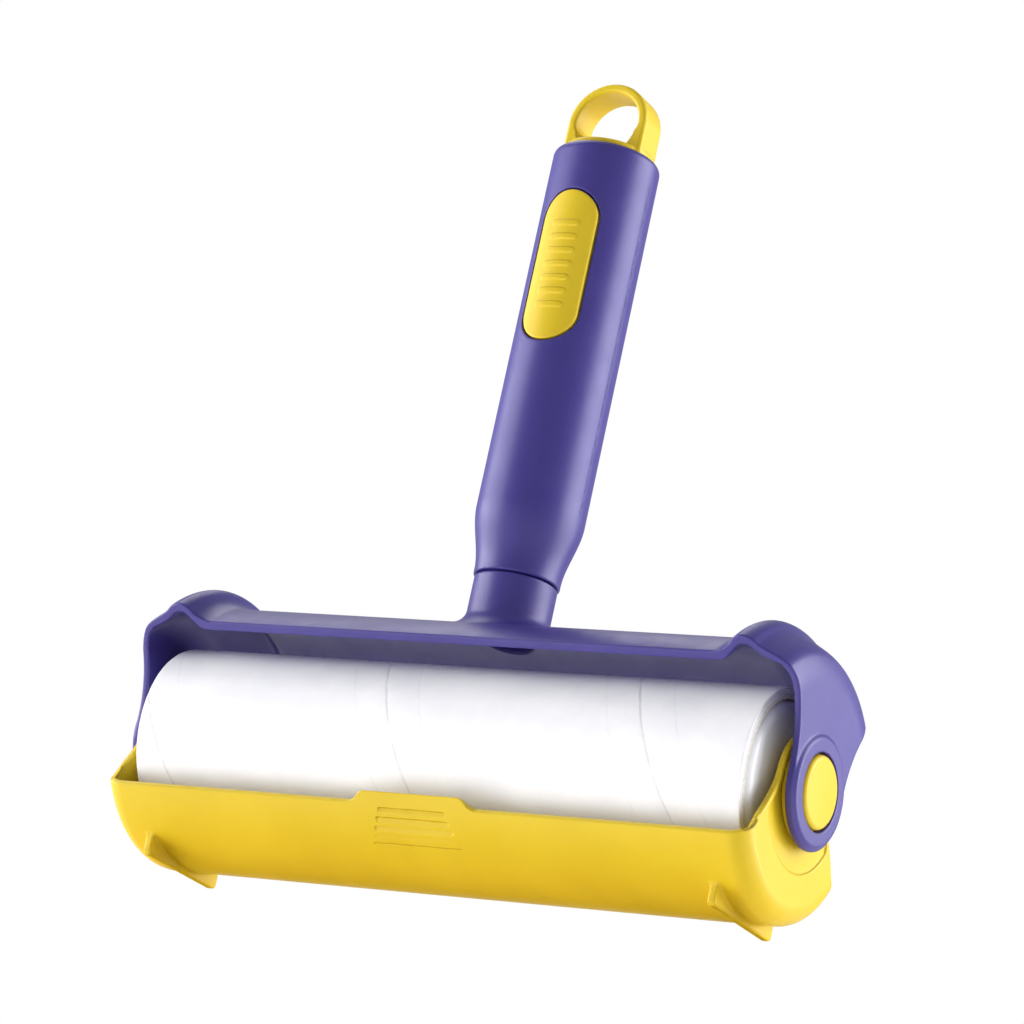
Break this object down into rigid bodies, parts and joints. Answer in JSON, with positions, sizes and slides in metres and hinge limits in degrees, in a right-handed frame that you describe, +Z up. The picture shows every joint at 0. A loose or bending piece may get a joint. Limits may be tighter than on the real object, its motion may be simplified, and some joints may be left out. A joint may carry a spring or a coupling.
{
  "type": "lint roller",
  "caption": "Wide sticky-paper lint roller with an upright handle, a hood with two arms, and a dust cover that swings into the hood and stands on two feet.",
  "frame": {"origin": "on the ground between the two feet, straight below the middle of the roller's axis", "axes": "+Z up along the handle, X along the roller's axis, -Y towards the badge and the thumb tab (front)"},
  "size_m": [0.1784, 0.0527, 0.2045],
  "materials": {
    "purple_plastic": "satin moulded polypropylene",
    "yellow_plastic": "satin moulded polypropylene",
    "white_plastic": "glossy moulded polystyrene",
    "paper": "matt adhesive-coated paper",
    "cardboard": "matt cardboard",
    "screw_steel": "zinc-plated"
  },
  "bodies": {
    "hood": {"hood": "purple_plastic", "handle": "purple_plastic", "hang_loop": "yellow_plastic", "grip_badge": "yellow_plastic", "neck_screw": "screw_steel", "axle_button_left": "yellow_plastic", "axle_button_right": "yellow_plastic"},
    "cover": {"dust_cover": "yellow_plastic"},
    "roller": {"roller_drum": "white_plastic", "roller_hub_left": "white_plastic", "roller_hub_right": "white_plastic", "paper_core": "cardboard", "sticky_roll": "paper"}
  },
  "joints": [
    {"name": "cover_swing", "type": "hinge", "parent": "hood", "child": "cover", "pos_m": [0, 0, 0.0315], "axis": [-1, 0, 0], "range_deg": [0, 180]},
    {"name": "roller_spin", "type": "hinge", "parent": "hood", "child": "roller", "pos_m": [0, 0, 0.0315], "axis": [1, 0, 0], "continuous": true}
  ]
}
